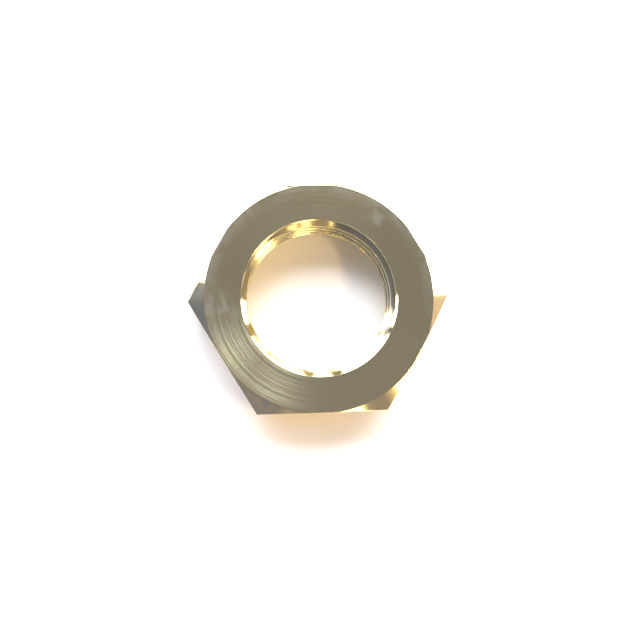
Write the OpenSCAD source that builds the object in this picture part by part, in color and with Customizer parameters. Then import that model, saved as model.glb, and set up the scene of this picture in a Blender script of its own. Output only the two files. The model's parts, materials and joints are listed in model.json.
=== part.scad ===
/* [Hexagon] */
// Spanner size, measured across two opposite flats
across_flats = 30; // [28:0.5:36]
// Thickness from the bottom face to the top face
nut_height = 7; // [6:0.5:12]
// Diameter of the round turned face inside the corners
face_d = 30.2; // [29:0.1:32]
// Slope of the corner chamfer below the face, in degrees
corner_angle = 30; // [15:1:40]

/* [Thread] */
// Diameter of the bore across the thread crests
crest_d = 19.15; // [18.9:0.05:19.2]
// Diameter across the thread roots
root_d = 20.955; // [20.8:0.005:21.1]
// Distance from one turn of the thread to the next
pitch = 1.814; // [1.75:0.001:2]
// Angle between the two flanks of the thread, in degrees
flank_angle = 55; // [50:1:60]
// Direction in which the groove runs out through the top face, in degrees
groove_exit = 130; // [0:10:350]

/* [Countersink] */
// Diameter of the countersink where it meets the face
countersink_d = 20.7; // [20:0.1:23]
// Full angle of the countersink cone, in degrees
countersink_angle = 90; // [60:5:120]

/* [Hidden] */
brass = [0.62, 0.56, 0.42];

// Flats and corners of the hexagon, with two corners on the X axis
corner_r = across_flats / 2 / cos(30);
face_r = face_d / 2;
corner_drop = (corner_r - face_r) * tan(corner_angle);
// The turning envelope runs a little past the corners
envelope_r = corner_r + 1;
envelope_drop = corner_drop + tan(corner_angle);

// Bore and countersinks
crest_r = crest_d / 2;
countersink_r = countersink_d / 2;
countersink_slope = tan(countersink_angle / 2);
countersink_depth = (countersink_r - crest_r) / countersink_slope;
// The cutting tools run this far past each face
overrun = 1;

// Thread form: a truncated V whose groove and ridge are equally wide half way down
root_r = root_d / 2;
form_r = root_r - 0.3202 * pitch;
flank_slope = tan(flank_angle / 2);
// The groove's tool starts this far inside the crests, or where its turns would nearly touch each other
tool_inset = 0.25;
widest_mouth = 0.48 * pitch;
tool_r = max(crest_r - tool_inset, form_r - (widest_mouth - pitch / 4) / flank_slope);
mouth_half = pitch / 4 + (form_r - tool_r) * flank_slope;
root_half = pitch / 4 - (root_r - form_r) * flank_slope;

// Steps of the helix in one turn, and in the whole length
turn_steps = 36;
helix_bottom = -overrun;
helix_top = nut_height + overrun;
helix_steps = ceil((helix_top - helix_bottom) / pitch * turn_steps);
// Vertices of a chord polygon stand out by this factor to keep the mean radius true
chord_factor = 2 / (1 + cos(180 / turn_steps));

// The four corners of the groove's section at one step of the helix
function groove_section(i) =
    let (
        z = helix_bottom + pitch * i / turn_steps,
        turn = groove_exit + 360 * (z - nut_height) / pitch,
        outer = root_r * chord_factor
    )
    [
        for (corner = [
            [tool_r, -mouth_half],
            [outer, -root_half],
            [outer, root_half],
            [tool_r, mouth_half]
        ])
        [corner[0] * cos(turn), corner[0] * sin(turn), z + corner[1]]
    ];

// Two triangles on one side of the groove between step i and the next
function side_faces(i, side) =
    let (
        a = 4 * i + side,
        b = 4 * i + (side + 1) % 4,
        c = a + 4,
        d = b + 4
    )
    [[a, b, c], [b, d, c]];

// Cutter for the right-hand thread groove, which notches both faces where it runs out past the countersinks
module thread_groove() {
    last = 4 * helix_steps;
    polyhedron(
        points = [
            for (i = [0 : helix_steps])
            each groove_section(i)
        ],
        faces = [
            [0, 2, 1],
            [0, 3, 2],
            for (i = [0 : helix_steps - 1])
            for (side = [0 : 3])
            each side_faces(i, side),
            [last, last + 1, last + 2],
            [last, last + 2, last + 3]
        ]
    );
}

// Six flats, as drawn hexagonal bar
module hexagon_bar() {
    linear_extrude(height = nut_height)
        circle(r = corner_r, $fn = 6);
}

// Lathe envelope: flat faces with the corners chamfered at both ends
module turned_envelope() {
    rotate_extrude($fn = 96)
        polygon([
            [0, 0],
            [face_r, 0],
            [envelope_r, envelope_drop],
            [envelope_r, nut_height - envelope_drop],
            [face_r, nut_height],
            [0, nut_height]
        ]);
}

// Drilled hole with a countersink at each end
module countersunk_bore() {
    mouth_r = countersink_r + overrun * countersink_slope;
    rotate_extrude($fn = 96)
        polygon([
            [0, -overrun],
            [mouth_r, -overrun],
            [crest_r, countersink_depth],
            [crest_r, nut_height - countersink_depth],
            [mouth_r, nut_height + overrun],
            [0, nut_height + overrun]
        ]);
}

// The whole nut: one piece of brass bar, faced, chamfered, bored and tapped
module hex_nut() {
    color(brass)
        difference() {
            intersection() {
                hexagon_bar();
                turned_envelope();
            }
            countersunk_bore();
            thread_groove();
        }
}

hex_nut();
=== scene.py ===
"""A turned brass hex nut on a bright table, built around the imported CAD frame. Lengths are in metres."""
import json
import math

import bpy
import numpy as np
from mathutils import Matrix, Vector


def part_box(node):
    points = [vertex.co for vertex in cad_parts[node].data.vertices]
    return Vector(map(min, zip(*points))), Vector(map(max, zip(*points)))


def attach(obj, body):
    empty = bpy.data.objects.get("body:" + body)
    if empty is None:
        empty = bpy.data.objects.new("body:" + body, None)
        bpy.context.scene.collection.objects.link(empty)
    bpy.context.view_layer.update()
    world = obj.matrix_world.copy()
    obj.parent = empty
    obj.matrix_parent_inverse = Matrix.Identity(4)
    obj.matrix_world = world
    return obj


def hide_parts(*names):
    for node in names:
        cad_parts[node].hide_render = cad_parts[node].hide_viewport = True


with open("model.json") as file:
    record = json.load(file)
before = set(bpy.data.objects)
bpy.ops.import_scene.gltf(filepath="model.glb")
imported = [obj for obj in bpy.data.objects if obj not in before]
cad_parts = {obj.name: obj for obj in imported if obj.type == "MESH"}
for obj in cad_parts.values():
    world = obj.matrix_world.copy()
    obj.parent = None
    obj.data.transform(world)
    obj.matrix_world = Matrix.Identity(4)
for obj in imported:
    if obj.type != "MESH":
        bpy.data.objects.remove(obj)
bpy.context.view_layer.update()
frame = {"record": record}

MM = 0.001
NODE = "hex_nut"
node_low, node_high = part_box(NODE)
mounts = {m["name"]: m for m in frame["record"]["mounts"]}

# The nut's outline and height come from the frame, and the crest wall from its mount
HEIGHT = node_high.z - node_low.z
FLAT_R = (node_high.y - node_low.y) / 2
CORNER_R = FLAT_R / math.cos(math.radians(30))
CREST_R = mounts["thread"]["dims"]["r_mm"] * MM
CREST_LENGTH = mounts["thread"]["dims"]["length_mm"] * MM
# The countersinks are 90 degree cones, as deep as they are wider than the crests
SINK_DEPTH = (HEIGHT - CREST_LENGTH) / 2
MOUTH_R = CREST_R + SINK_DEPTH
# The round face inside the corners, and the corner cones below it
FACE_R = 15.1 * MM
CHAMFER_ANGLE = math.radians(30)
CHAMFER_SLOPE = math.tan(CHAMFER_ANGLE)
# The thread: FORM_R is half way down its depth, where groove and ridge are equally wide
PITCH = 1.814 * MM
ROOT_R = 10.4775 * MM
FORM_R = ROOT_R - 0.3202 * PITCH
FLANK_SLOPE = math.tan(math.radians(27.5))
# The groove runs out through the top face in this direction, and a crest starts this high on the X axis
GROOVE_EXIT = math.radians(130)
THREAD_START = HEIGHT - PITCH * (GROOVE_EXIT / (2 * math.pi) + 0.5)

# Radii of the broken edges, and of the crease where the countersink cuts the thread
CORNER_ROUND = 0.22 * MM
EDGE_BREAK = 0.055 * MM
MOUTH_BREAK = 0.028 * MM
CREST_ROUND = 0.05 * MM
CREASE_ROUND = 0.03 * MM
# The arc of a broken edge starts this share of its radius away from the edge
RIM_SETBACK = math.tan(CHAMFER_ANGLE / 2)
MOUTH_SETBACK = math.tan(math.radians(45) / 2)
# The deepest groove that the turning tool leaves in a face
TURNING_DEPTH = 0.0022 * MM

# The mesh's steps along a flat, round a corner and across the two faces
FLAT_STEPS = 73
CORNER_STEPS = 7
FACE_ROWS = 48
BACK_ROWS = 16
# Rows of the countersinks are no further apart than this
SINK_STEP = 0.06 * MM
# Rows that come closer than this to the end of a wall join it, and rows of a face stay this far apart
ROW_SNAP = 0.008 * MM
ROW_GAP = 0.015 * MM


# ---------------------------------------------------------------- outline

def hexagon_columns():
    """(angle, outline radius) round the nut, with rounded corners on the X axis and every 60 degrees."""
    centre = CORNER_R - CORNER_ROUND / math.cos(math.radians(30))
    start_x = centre + CORNER_ROUND * math.cos(math.radians(30))
    start_y = CORNER_ROUND * math.sin(math.radians(30))
    flat_from = math.atan2(start_y, start_x)
    # Where the face's circle meets a flat, measured from the middle of the flat
    rim_meets_flat = math.acos(FLAT_R / FACE_R)
    reach = math.radians(30) - flat_from
    flat = list(np.linspace(-reach, reach, FLAT_STEPS + 2)[1:-1])
    for target in (-rim_meets_flat, rim_meets_flat):
        nearest = min(range(len(flat)), key=lambda k: abs(flat[k] - target))
        flat[nearest] = target
    columns = []
    for corner in range(6):
        base = math.radians(60 * corner)
        for a in np.linspace(-30, 30, CORNER_STEPS):
            x = centre + CORNER_ROUND * math.cos(math.radians(a))
            y = CORNER_ROUND * math.sin(math.radians(a))
            columns.append((base + math.atan2(y, x), math.hypot(x, y)))
        middle = base + math.radians(30)
        columns += [(middle + a, FLAT_R / math.cos(a)) for a in flat]
    return columns


def ripple(angle, seed, waves=9):
    """A smooth repeating value from -1 to 1 round the circle."""
    draw = np.random.RandomState(seed)
    phases = draw.uniform(0, 2 * math.pi, waves)
    sizes = draw.uniform(0.3, 1.0, waves)
    counts = draw.randint(3, 60, waves)
    total = sum(s * math.sin(c * angle + p) for s, c, p in zip(sizes, counts, phases))
    return total / sum(sizes)


# ---------------------------------------------------------------- thread

def thread_half_form():
    """(distance from the crest's middle, radius) down one flank to the middle of the root."""
    turn = math.radians(90) - math.atan(FLANK_SLOPE)
    land = PITCH / 4 - (FORM_R - CREST_R) * FLANK_SLOPE
    root = PITCH / 4 - (ROOT_R - FORM_R) * FLANK_SLOPE
    root_round = root / math.tan(turn / 2)
    crest_tangent = CREST_ROUND * math.tan(turn / 2)
    points = [(0.0, CREST_R)]
    for share in (0.0, 0.5, 1.0):
        a = turn * share
        points.append((
            land - crest_tangent + CREST_ROUND * math.sin(a),
            CREST_R + CREST_ROUND * (1 - math.cos(a)),
        ))
    flank_end = (
        PITCH / 2 - root_round * math.sin(turn),
        ROOT_R - root_round * (1 - math.cos(turn)),
    )
    points.append(tuple((p + q) / 2 for p, q in zip(points[-1], flank_end)))
    for share in (1.0, 0.62, 0.3):
        a = turn * share
        points.append((PITCH / 2 - root_round * math.sin(a), ROOT_R - root_round * (1 - math.cos(a))))
    points.append((PITCH / 2, ROOT_R))
    return points


# Distances along the axis from the crest's middle, and the wall's radius at each
PROFILE_ALONG, PROFILE_R = np.array(thread_half_form()).T


def thread_radius(height, angle):
    """The radius of the thread's own surface at a height and an angle."""
    along = (height - THREAD_START - PITCH * angle / (2 * math.pi)) % PITCH
    return float(np.interp(min(along, PITCH - along), PROFILE_ALONG, PROFILE_R))


def smooth_max(a, b, width):
    """The larger of a and b, with the crease between them rounded."""
    gap = max(width - abs(a - b), 0.0) / width
    return max(a, b) + gap * gap * width / 4


def bore_radius(height, angle):
    """The radius of the bore's wall: the thread, opened by the countersink at each end."""
    cone = CREST_R + max(SINK_DEPTH - height, height - (HEIGHT - SINK_DEPTH))
    if cone <= CREST_R - 1e-9:
        return thread_radius(height, angle)
    return smooth_max(thread_radius(height, angle), cone, CREASE_ROUND)


def helix_levels(step_limit):
    """Offsets within one pitch that follow the thread's edges, with gaps no wider than step_limit."""
    full = list(PROFILE_ALONG) + [PITCH - along for along in PROFILE_ALONG[-2:0:-1]]
    levels = []
    for low, high in zip(full, full[1:] + [PITCH]):
        parts = max(1, math.ceil((high - low) / step_limit))
        levels += [low + (high - low) * k / parts for k in range(parts)]
    return levels


# ---------------------------------------------------------------- mesh

class Lathe:
    """Collects rings of points, one for each column of the outline, and the faces between them."""

    def __init__(self, columns):
        self.columns = columns
        self.count = len(columns)
        self.points = []
        self.faces = []
        self.regions = []

    def point(self, column, radius, height):
        angle = self.columns[column][0]
        self.points.append((radius * math.cos(angle), radius * math.sin(angle), height))
        return len(self.points) - 1

    def ring(self, place):
        """A ring of points; place(column) gives each one's radius and height."""
        return [self.point(c, *place(c)) for c in range(self.count)]

    def ring_between(self, lower, upper, share):
        """A ring part of the way from one ring to another."""
        start = len(self.points)
        for a, b in zip(lower, upper):
            self.points.append(tuple(
                p + (q - p) * share for p, q in zip(self.points[a], self.points[b])
            ))
        return list(range(start, start + self.count))

    def face(self, corners, region):
        unique = [c for k, c in enumerate(corners) if c != corners[k - 1]]
        if len(unique) >= 3:
            self.faces.append(unique)
            self.regions.append(region)

    def strip(self, lower, upper, region):
        for c in range(self.count):
            d = (c + 1) % self.count
            self.face((lower[c], lower[d], upper[d], upper[c]), region)

    def strips(self, rings, region):
        for lower, upper in zip(rings, rings[1:]):
            self.strip(lower, upper, region)

    def merge(self, distance):
        """Joins points that coincide, and drops what that leaves without area."""
        found, keep, target = {}, [], []
        for p in self.points:
            key = tuple(round(v / distance) for v in p)
            if key not in found:
                found[key] = len(keep)
                keep.append(p)
            target.append(found[key])
        faces, regions = self.faces, self.regions
        self.points, self.faces, self.regions = keep, [], []
        for face, region in zip(faces, regions):
            self.face([target[k] for k in face], region)


def helical_band(lathe, bottom, top, low, high, step_limit, region):
    """Wall rows that climb with the thread between two level rings."""
    levels = helix_levels(step_limit)
    per_turn = len(levels)
    first = math.floor((low - THREAD_START) / PITCH - 1) * per_turn
    last = math.ceil((high - THREAD_START) / PITCH) * per_turn
    made = {}

    def index(column, k):
        if column == lathe.count:
            return index(0, k + per_turn)
        turn, level = divmod(k, per_turn)
        angle = lathe.columns[column][0]
        height = THREAD_START + turn * PITCH + levels[level] + PITCH * angle / (2 * math.pi)
        if height <= low + ROW_SNAP:
            return bottom[column]
        if height >= high - ROW_SNAP:
            return top[column]
        if (column, k) not in made:
            made[column, k] = lathe.point(column, bore_radius(height, angle), height)
        return made[column, k]

    for c in range(lathe.count):
        for k in range(first, last):
            corners = (index(c, k), index(c, k + 1), index(c + 1, k + 1), index(c + 1, k))
            lathe.face(corners, region)


def rim_points(column, lathe):
    """Centres of the edge breaks above and below the corner chamfer, as (radius, depth below the face)."""
    angle, outline = lathe.columns[column]
    soft = EDGE_BREAK * (1 + 0.35 * ripple(angle, 4))
    rim = min(FACE_R, outline)
    drop = (outline - rim) * CHAMFER_SLOPE
    inner = (min(rim - soft * RIM_SETBACK, outline - soft), soft)
    outer = (outline - soft, max(drop + soft * CHAMFER_SLOPE, soft))
    return inner, outer, soft


def rim_rings(lathe, to_height):
    """Rings from the face's edge over the corner chamfer to the flat; to_height turns depth into height."""
    def on_arc(lower, degrees):
        a = math.radians(degrees)

        def place(c):
            inner, outer, soft = rim_points(c, lathe)
            r, depth = outer if lower else inner
            return r + soft * math.cos(a), to_height(depth - soft * math.sin(a))
        return place

    def on_chamfer(share):
        a = math.radians(90) - CHAMFER_ANGLE

        def place(c):
            inner, outer, soft = rim_points(c, lathe)
            r = inner[0] + (outer[0] - inner[0]) * share
            depth = inner[1] + (outer[1] - inner[1]) * share
            return r + soft * math.cos(a), to_height(depth - soft * math.sin(a))
        return place

    edge = [lathe.ring(on_arc(False, d)) for d in (90, 75, 60)]
    cone = [lathe.ring(on_chamfer(s)) for s in (0.08, 0.3, 0.6, 0.92)]
    side = [lathe.ring(on_arc(True, d)) for d in (60, 40, 20, 0)]
    return edge, cone, side


def mouth_centre(lathe, column, end):
    """The radius of the centre of the mouth's edge break, which follows the groove where it runs out."""
    return bore_radius(end, lathe.columns[column][0]) + MOUTH_BREAK * MOUTH_SETBACK


def face_rings(lathe, edge, rows, to_height, grooves):
    """Rings of a turned face from the mouth's edge break out to the rim. grooves gives each row's depth."""
    start = MOUTH_R + MOUTH_BREAK * MOUTH_SETBACK
    starts = [mouth_centre(lathe, c, to_height(0.0)) for c in range(lathe.count)]
    even_to = FLAT_R - 4 * EDGE_BREAK
    rings = []
    for k in range(rows):
        radius = start + (even_to - start) * k / (rows - 1)
        depth = grooves[k] if 0 < k < rows - 1 else 0.0
        rings.append(lathe.ring(
            lambda c, r=radius, d=depth, gap=k * ROW_GAP: (max(r, starts[c] + gap), to_height(d))
        ))
    rim = [math.hypot(*lathe.points[k][:2]) for k in edge]
    for share in (0.35, 0.8):
        rings.append(lathe.ring(
            lambda c, s=share: (even_to + (rim[c] - even_to) * s, to_height(0.0))
        ))
    return rings


def mouth_rings(lathe, to_height):
    """Rings of the edge break between the countersink and the face, from the cone to the face."""
    rings = []
    for degrees in (135, 112.5):
        a = math.radians(degrees)
        depth = MOUTH_BREAK * (1 - math.sin(a))
        rings.append(lathe.ring(lambda c, a=a, d=depth: (
            mouth_centre(lathe, c, to_height(0.0)) + MOUTH_BREAK * math.cos(a), to_height(d)
        )))
    return rings


# Which material each region of the surface has
FACE, CHAMFER, FLAT, BORE, SINK = range(5)


def nut_mesh():
    """The whole nut as one closed mesh."""
    lathe = Lathe(hexagon_columns())
    draw = np.random.RandomState(11)
    ends = {}
    for name, to_height, rows in (
        ("top", lambda depth: HEIGHT - depth, FACE_ROWS),
        ("bottom", lambda depth: depth, BACK_ROWS),
    ):
        edge, cone, side = rim_rings(lathe, to_height)
        grooves = TURNING_DEPTH * draw.uniform(0, 1, rows) ** 1.5
        face = face_rings(lathe, edge[0], rows, to_height, grooves)
        ends[name] = (mouth_rings(lathe, to_height), face, edge, cone, side)

    mouth, face, edge, cone, side = ends["top"]
    low_level, top_level = [
        lathe.ring(lambda c, h=h: (bore_radius(h, lathe.columns[c][0]), h))
        for h in (SINK_DEPTH, HEIGHT - SINK_DEPTH)
    ]

    # Top: mouth, face, rim, chamfer, then down the flats to the bottom's own rings
    lathe.strips((mouth + face)[::-1], FACE)
    lathe.strip(edge[0], face[-1], FACE)
    lathe.strips(edge[::-1], FACE)
    lathe.strips(([edge[-1]] + cone + [side[0]])[::-1], CHAMFER)
    lathe.strips(side[::-1], FLAT)
    low_mouth, low_face, low_edge, low_cone, low_side = ends["bottom"]
    between = [
        lathe.ring_between(low_side[-1], side[-1], share)
        for share in (0.2, 0.4, 0.6, 0.8)
    ]
    lathe.strips([low_side[-1]] + between + [side[-1]], FLAT)
    lathe.strips(low_side, FLAT)
    lathe.strips([low_edge[-1]] + low_cone + [low_side[0]], CHAMFER)
    lathe.strips(low_edge, FACE)
    lathe.strip(low_face[-1], low_edge[0], FACE)
    lathe.strips(low_mouth + low_face, FACE)

    # Bore: both countersinks and the thread between them
    top_sink = HEIGHT - MOUTH_BREAK * (1 - math.sin(math.radians(135)))
    low_sink = HEIGHT - top_sink
    helical_band(lathe, low_mouth[0], low_level, low_sink, SINK_DEPTH, SINK_STEP, SINK)
    helical_band(lathe, low_level, top_level, SINK_DEPTH, HEIGHT - SINK_DEPTH, PITCH, BORE)
    helical_band(lathe, top_level, mouth[0], HEIGHT - SINK_DEPTH, top_sink, SINK_STEP, SINK)
    lathe.merge(1e-4 * MM)
    return lathe


def build_nut(materials):
    """The nut's object, standing for the CAD node."""
    lathe = nut_mesh()
    mesh = bpy.data.meshes.new("brass_hex_nut")
    mesh.from_pydata(lathe.points, [], lathe.faces)
    for material in materials:
        mesh.materials.append(material)
    mesh.polygons.foreach_set("material_index", lathe.regions)
    mesh.polygons.foreach_set("use_smooth", [True] * len(lathe.faces))
    mesh.validate()
    nut = bpy.data.objects.new("brass_hex_nut", mesh)
    bpy.context.scene.collection.objects.link(nut)
    even = nut.modifiers.new("even_normals", "WEIGHTED_NORMAL")
    even.weight = 80
    even.keep_sharp = False
    return nut


# ---------------------------------------------------------------- node helpers

class Graph:
    """Short calls for building a node tree."""

    def __init__(self, tree):
        self.tree = tree

    def node(self, kind, **settings):
        made = self.tree.nodes.new(kind)
        for name, value in settings.items():
            setattr(made, name, value)
        return made

    def feed(self, socket, value):
        if isinstance(value, bpy.types.NodeSocket):
            self.tree.links.new(value, socket)
        else:
            socket.default_value = value

    def math(self, operation, a, b=0.0, c=0.0):
        made = self.node("ShaderNodeMath", operation=operation)
        for socket, value in zip(made.inputs, (a, b, c)):
            self.feed(socket, value)
        return made.outputs[0]

    def vector_math(self, operation, a, b):
        made = self.node("ShaderNodeVectorMath", operation=operation)
        self.feed(made.inputs[0], a)
        self.feed(made.inputs[1], b)
        return made.outputs

    def span(self, value, low, high, to_low=0.0, to_high=1.0):
        """A smooth step from to_low, where value is low, to to_high, where it is high."""
        made = self.node("ShaderNodeMapRange", clamp=True, interpolation_type="SMOOTHSTEP")
        for name, item in zip(
            ("Value", "From Min", "From Max", "To Min", "To Max"),
            (value, low, high, to_low, to_high),
        ):
            self.feed(made.inputs[name], item)
        return made.outputs[0]

    def noise(self, dimensions="3D", vector=None, w=None, scale=1.0, detail=2.0, roughness=0.5):
        made = self.node("ShaderNodeTexNoise", noise_dimensions=dimensions)
        if vector is not None:
            self.feed(made.inputs["Vector"], vector)
        if w is not None:
            self.feed(made.inputs["W"], w)
        self.feed(made.inputs["Scale"], scale)
        self.feed(made.inputs["Detail"], detail)
        self.feed(made.inputs["Roughness"], roughness)
        return made.outputs["Fac"]

    def blend(self, share, a, b):
        """The colour a, mixed with b by share."""
        made = self.node("ShaderNodeMix", data_type="RGBA")
        self.feed(made.inputs["Factor"], share)
        self.feed(made.inputs["A"], a)
        self.feed(made.inputs["B"], b)
        return made.outputs["Result"]

    def stretched(self, vector, factors):
        return self.vector_math("MULTIPLY", vector, factors)["Vector"]

    def distance(self, a, b):
        return self.vector_math("DISTANCE", a, b)["Value"]

    def scaled_sum(self, a, b, factor):
        """a + b * factor."""
        return self.math("ADD", a, self.math("MULTIPLY", b, factor))

    def split(self, vector):
        made = self.node("ShaderNodeSeparateXYZ")
        self.feed(made.inputs[0], vector)
        return made.outputs


def rgb(r, g, b):
    return (r, g, b, 1.0)


# ---------------------------------------------------------------- brass

# Freshly cut brass, the same a little tarnished, and the paler colour of scuff marks, also used as a
# painted sheen on the rim's back side
BRIGHT = rgb(0.89, 0.77, 0.43)
DULL = rgb(0.82, 0.72, 0.45)
SCUFFED_AND_SHEEN = rgb(0.86, 0.81, 0.62)
# The skin that drawing leaves on the bar is a deeper yellow than freshly cut brass
DRAWN = rgb(0.86, 0.67, 0.31)
TARNISHED = rgb(0.74, 0.58, 0.30)

# Where the face is scuffed, in millimetres from the axis
LEFT_SCUFF = (-13.4, -1.6)
UPPER_SCUFF = (8.0, 11.2)
# The turned face's roughness, and how much a scuff adds to it and takes off the metallic share
TURNED_ROUGHNESS = 0.14
SCUFF_ROUGHNESS = 0.03
SCUFF_DULLING = 0.09


def brass_base(name, roughness, anisotropy, grain_across):
    """A new brass material: itself, its graph, its shader, and the position on the nut in millimetres."""
    material = bpy.data.materials.new(name)
    material.use_nodes = True
    graph = Graph(material.node_tree)
    shader = material.node_tree.nodes["Principled BSDF"]
    shader.inputs["Metallic"].default_value = 1.0
    shader.inputs["Roughness"].default_value = roughness
    shader.inputs["Anisotropic"].default_value = anisotropy
    shader.inputs["Anisotropic Rotation"].default_value = 0.25 if grain_across else 0.0
    tangent = graph.node("ShaderNodeTangent", direction_type="RADIAL", axis="Z")
    graph.feed(shader.inputs["Tangent"], tangent.outputs[0])
    place = graph.stretched(graph.node("ShaderNodeTexCoord").outputs["Object"], (1 / MM,) * 3)
    return material, graph, shader, place


def bump(graph, shader, height, distance):
    """Raises the surface by distance, in metres, for each unit of height."""
    made = graph.node("ShaderNodeBump")
    made.inputs["Strength"].default_value = 1.0
    made.inputs["Distance"].default_value = distance
    graph.feed(made.inputs["Height"], height)
    graph.feed(shader.inputs["Normal"], made.outputs[0])


def from_axis(graph, place, centre=(0.0, 0.0)):
    """The distance in plan from a line along Z, such as the nut's own axis."""
    return graph.distance(graph.stretched(place, (1.0, 1.0, 0.0)), (*centre, 0.0))


def scuff(graph, place, centre, inner, outer, smears, least):
    """Smears above least, fading out between two distances from a point on the face, in millimetres."""
    close = graph.span(from_axis(graph, place, centre), inner, outer, 1.0, 0.0)
    return graph.math("MULTIPLY", close, graph.span(smears, least, 0.68, 0.0, 0.6))


def turned_brass():
    """The lathe-faced ends: concentric tool marks, a worn rim paled by a painted sheen on its back side,
    and scuff marks from handling.
    """
    material, graph, shader, place = brass_base("brass_turned_face", TURNED_ROUGHNESS, 0.5, True)
    radius = from_axis(graph, place)
    x, y, _ = graph.split(place)
    turn = graph.math("ARCTAN2", y, x)
    fine = graph.noise("1D", w=radius, scale=3.3, detail=1.0)
    coarse = graph.noise("1D", w=radius, scale=0.9, detail=1.0)
    marks = graph.scaled_sum(fine, coarse, 1.3)
    cloud = graph.noise(vector=place, scale=0.5, detail=3.0, roughness=0.55)
    grit = graph.noise(vector=place, scale=7.0, detail=3.0, roughness=0.65)
    # Smears that follow the tool marks, longer round the face than across it
    smear = graph.node("ShaderNodeCombineXYZ")
    graph.feed(smear.inputs["X"], graph.math("MULTIPLY", radius, 1.3))
    graph.feed(smear.inputs["Y"], graph.math("MULTIPLY", turn, 7.0))
    smears = graph.noise(vector=smear.outputs[0], scale=1.0, detail=2.0, roughness=0.55)

    # A worn rim, paled by a painted sheen that is strongest at the back and fades out towards the front,
    # and scuff marks on the left and at the upper right
    worn_rim_and_sheen = graph.math("MULTIPLY", graph.span(radius, 13.2, 15.2), graph.span(cloud, 0.3, 0.6))
    # Painted sheen: this step pales the rim only on the back (+Y) side, where the windows' light falls on
    # the face
    worn_rim_and_sheen = graph.math("MULTIPLY", worn_rim_and_sheen, graph.span(y, -5.0, 3.0, 0.0, 0.6))
    left = scuff(graph, place, LEFT_SCUFF, 1.0, 4.0, smears, 0.38)
    upper = scuff(graph, place, UPPER_SCUFF, 0.4, 3.2, smears, 0.42)
    scuffs_and_sheen = graph.math("MAXIMUM", worn_rim_and_sheen, graph.math("MAXIMUM", left, upper))
    graph.feed(shader.inputs["Base Color"], graph.blend(scuffs_and_sheen, BRIGHT, SCUFFED_AND_SHEEN))
    graph.feed(shader.inputs["Metallic"], graph.scaled_sum(1.0, scuffs_and_sheen, -SCUFF_DULLING))
    graph.feed(shader.inputs["Roughness"], graph.scaled_sum(TURNED_ROUGHNESS, scuffs_and_sheen, SCUFF_ROUGHNESS))
    bump(graph, shader, graph.scaled_sum(marks, grit, 0.02), 12.0e-6)
    return material


def chamfer_brass():
    """The six corner cones, cut with the same tool at an angle."""
    material, graph, shader, place = brass_base("brass_chamfer", 0.13, 0.7, True)
    z = graph.split(place)["Z"]
    marks = graph.noise("1D", w=z, scale=8.0)
    cloud = graph.noise(vector=place, scale=0.8, detail=3.0)
    graph.feed(shader.inputs["Base Color"], graph.blend(graph.span(cloud, 0.35, 0.7), BRIGHT, DULL))
    graph.feed(shader.inputs["Roughness"], graph.span(cloud, 0.3, 0.75, 0.1, 0.16))
    bump(graph, shader, graph.scaled_sum(marks, cloud, 0.8), 2.0e-6)
    return material


def drawn_brass():
    """The six flats: faint lines along the bar, small dents and a little tarnish."""
    material, graph, shader, place = brass_base("brass_drawn_flat", 0.2, 0.35, False)
    along_bar = graph.stretched(place, (9.0, 9.0, 0.25))
    lines = graph.noise(vector=along_bar, scale=1.0, detail=3.0, roughness=0.6)
    cloud = graph.noise(vector=place, scale=0.35, detail=4.0, roughness=0.6)
    dents = graph.noise(vector=place, scale=1.7, detail=1.0)
    skin = graph.blend(graph.span(cloud, 0.4, 0.7), DRAWN, TARNISHED)
    graph.feed(shader.inputs["Base Color"], skin)
    graph.feed(shader.inputs["Roughness"], graph.span(cloud, 0.3, 0.75, 0.16, 0.28))
    bump(graph, shader, graph.scaled_sum(lines, dents, 2.0), 2.5e-6)
    return material


def bore_brass(name, roughness):
    """The tapped bore and its countersinks: bright metal with fine rings from the cutter."""
    material, graph, shader, place = brass_base(name, roughness, 0.5, True)
    z = graph.split(place)["Z"]
    rings = graph.noise("1D", w=z, scale=10.0, roughness=0.6)
    cloud = graph.noise(vector=place, scale=0.9, detail=3.0)
    graph.feed(shader.inputs["Base Color"], graph.blend(graph.span(cloud, 0.4, 0.75), BRIGHT, DULL))
    graph.feed(
        shader.inputs["Roughness"],
        graph.span(cloud, 0.3, 0.75, roughness * 0.8, roughness * 1.3),
    )
    bump(graph, shader, graph.math("ADD", rings, cloud), 2.0e-6)
    return material


# ---------------------------------------------------------------- stage

# The table top is a round sheet, with its points on circles of these radii
FLOOR_RADII = (0.08, 0.5, 3.0)
FLOOR_SIDES = 48


def floor():
    """A plain white table top."""
    mesh = bpy.data.meshes.new("floor")
    points = [(0.0, 0.0, node_low.z)]
    for radius in FLOOR_RADII:
        for k in range(FLOOR_SIDES):
            turn = 2 * math.pi * k / FLOOR_SIDES
            points.append((radius * math.cos(turn), radius * math.sin(turn), node_low.z))
    faces = []
    for k in range(FLOOR_SIDES):
        after = (k + 1) % FLOOR_SIDES
        faces.append((0, 1 + k, 1 + after))
        for band in range(len(FLOOR_RADII) - 1):
            a = 1 + band * FLOOR_SIDES
            b = a + FLOOR_SIDES
            faces.append((a + k, b + k, b + after, a + after))
    mesh.from_pydata(points, [], faces)
    material = bpy.data.materials.new("white_table")
    material.use_nodes = True
    shader = material.node_tree.nodes["Principled BSDF"]
    shader.inputs["Base Color"].default_value = rgb(0.9, 0.9, 0.91)
    shader.inputs["Roughness"].default_value = 0.6
    shader.inputs["Specular IOR Level"].default_value = 0.2
    mesh.materials.append(material)
    made = bpy.data.objects.new("floor", mesh)
    bpy.context.scene.collection.objects.link(made)


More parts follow.
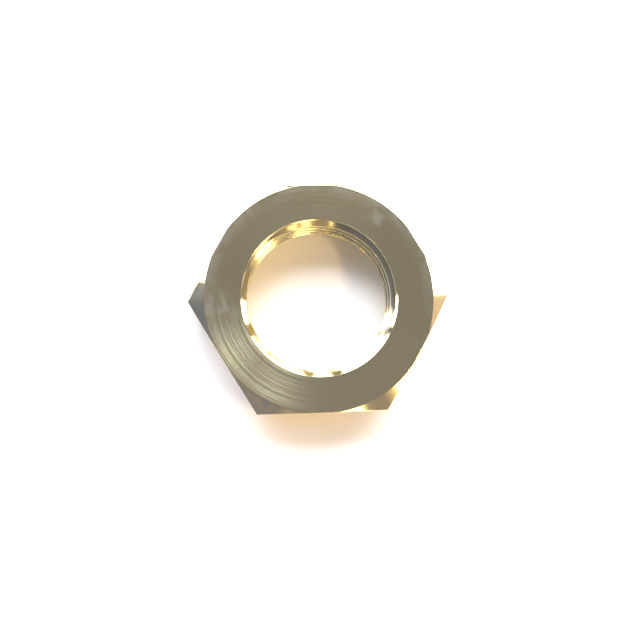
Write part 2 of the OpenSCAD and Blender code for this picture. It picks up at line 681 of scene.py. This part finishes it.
# Colours of the room's light
WINDOW = (1.0, 1.0, 1.03)
DAYLIGHT = (0.84, 0.93, 1.15)
LAMP = (1.0, 0.7, 0.33)
WARM = (1.0, 0.74, 0.58)
CEILING = (0.95, 0.84, 1.0)
SKY = (0.3, 0.4, 1.0)
WALL = (1.0, 0.8, 1.0)
# What comes from every direction, and what shows behind the table
AMBIENT = (0.135, 0.145, 0.185)
BACKDROP = rgb(0.98, 0.98, 0.98)
# Soft-edged panels of the room: azimuths and elevations in degrees, edge softness, colour, strength
ROOM_PANELS = (
    ((-40, 400), (62, 100), 10, CEILING, 0.105),
    # Windows behind the nut with gaps for their frames, brightest low down and high up in the middle
    ((7, 22), (-8, 25), 1.5, WINDOW, 7.0),
    ((31, 72), (-8, 40), 1.5, WINDOW, 7.0),
    ((79, 90), (-8, 40), 1.5, WINDOW, 7.0),
    ((99, 142), (-8, 40), 1.5, DAYLIGHT, 7.0),
    ((150, 163), (-8, 40), 1.5, DAYLIGHT, 7.0),
    ((161, 174), (-8, 14), 1.5, WINDOW, 9.0),
    ((7, 21), (-8, 14), 1.5, WINDOW, 10.0),
    ((32, 71), (-8, 14), 1.5, WINDOW, 10.0),
    ((60, 122), (38, 57), 1.5, WINDOW, 13.0),
    # A dim wall to the left, and a warm wall with lamps in front
    ((166, 196), (15, 40), 3, SKY, 0.2),
    ((186, 250), (-8, 50), 4, SKY, 0.06),
    ((176, 190), (-8, 14), 3, WARM, 0.12),
    ((204, 262), (20, 34), 4, WALL, 0.14),
    ((254, 366), (-8, 32), 4, WARM, 0.2),
    ((280, 297), (5, 31), 1.5, LAMP, 7.0),
    ((266, 316), (34, 54), 1.5, LAMP, 0.22),
    ((288, 295), (38, 52), 1.5, LAMP, 2.6),
    ((299, 306), (38, 52), 1.5, LAMP, 2.2),
    ((268, 271), (38, 50), 1.0, LAMP, 1.5),
    ((303, 311), (4, 13), 1.5, LAMP, 0.7),
    ((317, 334), (3, 30), 1.5, LAMP, 7.0),
    ((312, 341), (-2, 34), 3, LAMP, 0.5),
    ((350, 372), (10, 34), 3, WARM, 0.6),
)
# Round lights: azimuth, elevation and radius in degrees, colour, strength
ROOM_SPOTS = (
    (334, 46, 3.5, LAMP, 95.0),
    (126, 87.8, 1.4, DAYLIGHT, 2.3),
    (326, 88.1, 1.4, DAYLIGHT, 1.7),
)


def room_light():
    """Soft daylight from windows behind the nut, warm lamps in front, and a dim ceiling."""
    world = bpy.data.worlds.new("room")
    bpy.context.scene.world = world
    world.use_nodes = True
    graph = Graph(world.node_tree)
    background = world.node_tree.nodes["Background"]
    direction = graph.node("ShaderNodeTexCoord").outputs["Generated"]
    x, y, z = graph.split(direction)
    azimuth = graph.math("MULTIPLY", graph.math("ARCTAN2", y, x), 180 / math.pi)
    elevation = graph.math("MULTIPLY", graph.math("ARCSINE", z), 180 / math.pi)

    def shone(share, colour, strength):
        made = graph.node("ShaderNodeVectorMath", operation="SCALE")
        made.inputs[0].default_value = [c * strength for c in colour]
        graph.feed(made.inputs["Scale"], share)
        return made.outputs[0]

    def panel(az, el, soft, colour, strength):
        """Light between two azimuths and two elevations, in degrees, with soft edges."""
        middle, half = sum(az) / 2, (az[1] - az[0]) / 2
        turned = graph.math("WRAP", graph.math("SUBTRACT", azimuth, middle), 180.0, -180.0)
        within = graph.span(graph.math("ABSOLUTE", turned), half - soft, half + soft, 1.0, 0.0)
        above = graph.span(elevation, el[0] - soft, el[0] + soft)
        below = graph.span(elevation, el[1] - soft, el[1] + soft, 1.0, 0.0)
        share = graph.math("MULTIPLY", graph.math("MULTIPLY", within, above), below)
        return shone(share, colour, strength)

    def spot(az, el, radius, colour, strength):
        """A round light in one direction, with its size in degrees."""
        turn, rise = math.radians(az), math.radians(el)
        level = math.cos(rise)
        towards = (level * math.cos(turn), level * math.sin(turn), math.sin(rise))
        edge = math.radians(radius)
        share = graph.span(graph.distance(direction, towards), edge * 0.75, edge * 1.25, 1.0, 0.0)
        return shone(share, colour, strength)

    lights = [panel(*settings) for settings in ROOM_PANELS]
    lights += [spot(*settings) for settings in ROOM_SPOTS]
    light = AMBIENT
    for more in lights:
        light = graph.vector_math("ADD", light, more)["Vector"]
    # The backdrop behind the table is plain; only what falls on the nut and table has the room's pattern
    seen = graph.node("ShaderNodeLightPath").outputs["Is Camera Ray"]
    graph.feed(background.inputs["Color"], graph.blend(seen, light, BACKDROP))


# The camera's height above the top face, its place left and in front of the axis, and its tilt in degrees
CAMERA_HEIGHT = 94.6 * MM
CAMERA_OFFSET = (-8.95 * MM, -9.37 * MM)
CAMERA_TILT = (4.04, -5.2, -1.85)


def camera():
    """Close above the nut, looking nearly straight down."""
    data = bpy.data.cameras.new("camera")
    data.sensor_width = 36.0
    data.lens = 41.0
    data.clip_start = 0.002
    data.clip_end = 20.0
    made = bpy.data.objects.new("camera", data)
    bpy.context.scene.collection.objects.link(made)
    made.location = (*CAMERA_OFFSET, HEIGHT + CAMERA_HEIGHT)
    made.rotation_euler = [math.radians(a) for a in CAMERA_TILT]
    bpy.context.scene.camera = made


camera()
room_light()
floor()
nut = build_nut([
    turned_brass(),
    chamfer_brass(),
    drawn_brass(),
    bore_brass("brass_thread", 0.16),
    bore_brass("brass_countersink", 0.11),
])
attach(nut, "root")
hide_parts(NODE)

view = bpy.context.scene.view_settings
view.view_transform = "Standard"
view.exposure = 0.0
